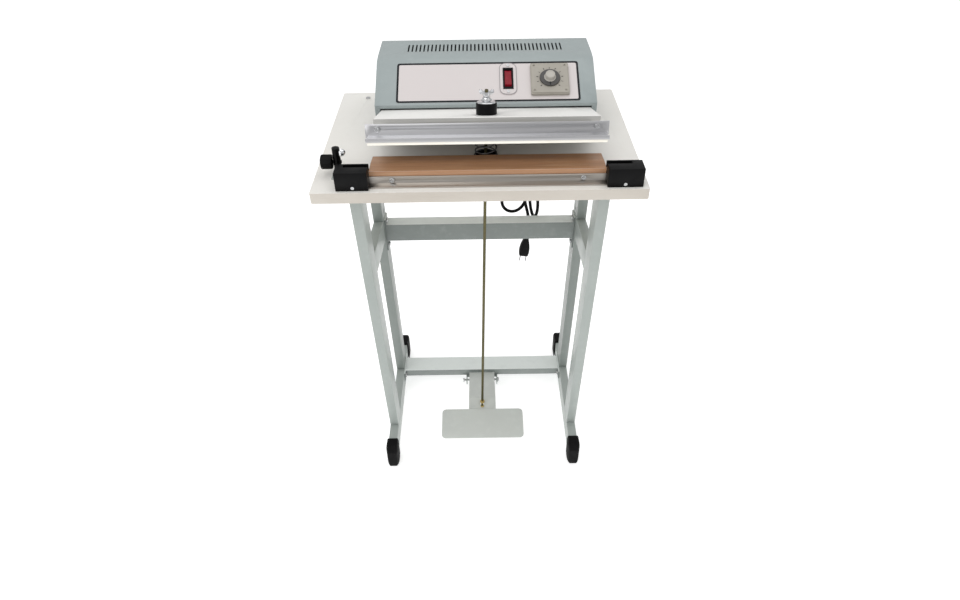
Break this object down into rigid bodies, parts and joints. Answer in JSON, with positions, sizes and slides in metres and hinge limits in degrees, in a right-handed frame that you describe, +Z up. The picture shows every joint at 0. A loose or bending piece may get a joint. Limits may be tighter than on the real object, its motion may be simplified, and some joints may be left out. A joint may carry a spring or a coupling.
{
  "type": "impulse heat sealer",
  "caption": "Pedal-operated impulse heat sealer: hinged upper jaw over a fixed cloth-covered lower jaw on a small table, with a control housing, pull rod, treadle and tubular steel stand.",
  "frame": {"origin": "centre of the footprint on the floor, under the table", "axes": "+X to the operator's right, +Y away from the operator, +Z up"},
  "size_m": [0.57, 0.48, 0.9264],
  "materials": {
    "table_board": "white laminated board with a pale edge",
    "frame_paint": "satin grey-green powder coat",
    "cover_paint": "fine-textured grey-green paint",
    "white_paint": "off-white paint",
    "zinc": "bright zinc plate",
    "bright": "polished",
    "rod_steel": "olive chromate over steel",
    "brass": "dull brass",
    "aluminium": "mill-finish extrusion",
    "silicone": "cream silicone rubber",
    "black_rubber": "matt black rubber",
    "black_plastic": "black moulded plastic",
    "spring_steel": "bright drawn wire",
    "ptfe": "brown PTFE-coated glass cloth",
    "nichrome": "flat resistance band",
    "copper": "enamelled copper",
    "core_steel": "varnished laminations",
    "label": "pale laminated label with a black border",
    "switch_red": "translucent red",
    "timer_plastic": "warm grey moulded plastic",
    "white_plastic": "natural nylon",
    "cord_pvc": "black PVC sheath"
  },
  "bodies": {
    "root": {"table_top": "table_board", "top_rails": "frame_paint", "front_legs": "frame_paint", "rear_legs": "frame_paint", "frame_braces": "frame_paint", "base_tubes": "frame_paint", "upper_crossbar": "frame_paint", "lower_crossbar": "frame_paint", "crossbar_bolts": "zinc", "front_foot_caps": "black_rubber", "rear_foot_caps": "black_rubber", "pedal_bracket": "frame_paint", "pedal_hinge_pin": "zinc", "table_screws": "zinc", "rod_grommet": "black_rubber", "return_spring": "spring_steel", "pivot_brackets": "zinc", "pivot_shaft": "zinc", "lower_jaw_bar": "aluminium", "ptfe_cloth": "ptfe", "heating_wire": "nichrome", "clamp_angle": "aluminium", "jaw_screws": "zinc", "left_end_block": "black_plastic", "right_end_block": "black_plastic", "wire_tensioners": "copper", "end_block_screws": "zinc", "side_bracket": "frame_paint", "bracket_post": "black_plastic", "bracket_nut": "bright", "housing_cover": "cover_paint", "housing_base": "zinc", "housing_screws": "zinc", "label_panel": "label", "switch_plate": "label", "switch_body": "black_plastic", "panel_screws": "zinc", "timer_module": "timer_plastic", "transformer_core": "core_steel", "transformer_coil": "copper", "microswitch": "black_plastic", "terminal_block": "white_plastic", "strain_relief": "cord_pvc", "cord_tube": "cord_pvc", "cord_tie": "white_plastic", "plug_body": "cord_pvc", "plug_pins": "brass"},
    "arm": {"arm_plate": "white_paint", "upper_jaw_angle": "aluminium", "silicone_strip": "silicone", "upper_jaw_screws": "zinc", "arm_bush": "black_plastic", "bush_ring": "bright"},
    "rod": {"pull_rod": "rod_steel", "rod_nuts": "brass"},
    "wing": {"wing_nut": "bright"},
    "pedal": {"foot_pedal": "frame_paint"},
    "rocker": {"switch_rocker": "switch_red"},
    "dial": {"timer_dial": "timer_plastic"},
    "knob": {"clamp_knob": "black_plastic"}
  },
  "joints": [
    {"name": "arm_hinge", "type": "hinge", "parent": "root", "child": "arm", "pos_m": [0.014, 0.012, 0.838], "axis": [1, 0, 0], "range_deg": [0, 11.5], "stiffness_Nm_per_rad": 8, "springref_deg": -34.38, "deforming": ["return_spring"]},
    {"name": "rod_swing", "type": "hinge", "parent": "arm", "child": "rod", "pos_m": [0.014, -0.11774, 0.90756], "axis": [1, 0, 0], "range_deg": [-11.5, 0]},
    {"name": "wing_nut_turn", "type": "hinge", "parent": "rod", "child": "wing", "pos_m": [0.0142, -0.11862, 0.91953], "axis": [0.017, -0.0735, 0.9971], "continuous": true},
    {"name": "pedal_hinge", "type": "hinge", "parent": "root", "child": "pedal", "pos_m": [0, 0.085, 0.025], "axis": [1, 0, 0], "range_deg": [0, 10.36]},
    {"name": "power_rocker", "type": "hinge", "parent": "root", "child": "rocker", "pos_m": [0.0557, -0.00144, 0.89584], "axis": [1, 0, 0], "range_deg": [0, 16]},
    {"name": "timer_turn", "type": "hinge", "parent": "root", "child": "dial", "pos_m": [0.132, -0.01115, 0.90302], "axis": [0, 0.4856, -0.8742], "range_deg": [0, 270]},
    {"name": "clamp_knob_turn", "type": "hinge", "parent": "root", "child": "knob", "pos_m": [-0.26, -0.174, 0.824], "axis": [1, 0, 0], "continuous": true}
  ],
  "couplings": [
    {"joint": "rod_swing", "follows": "arm_hinge", "ratio": -1},
    {"joint": "pedal_hinge", "follows": "arm_hinge", "ratio": 0.9}
  ]
}
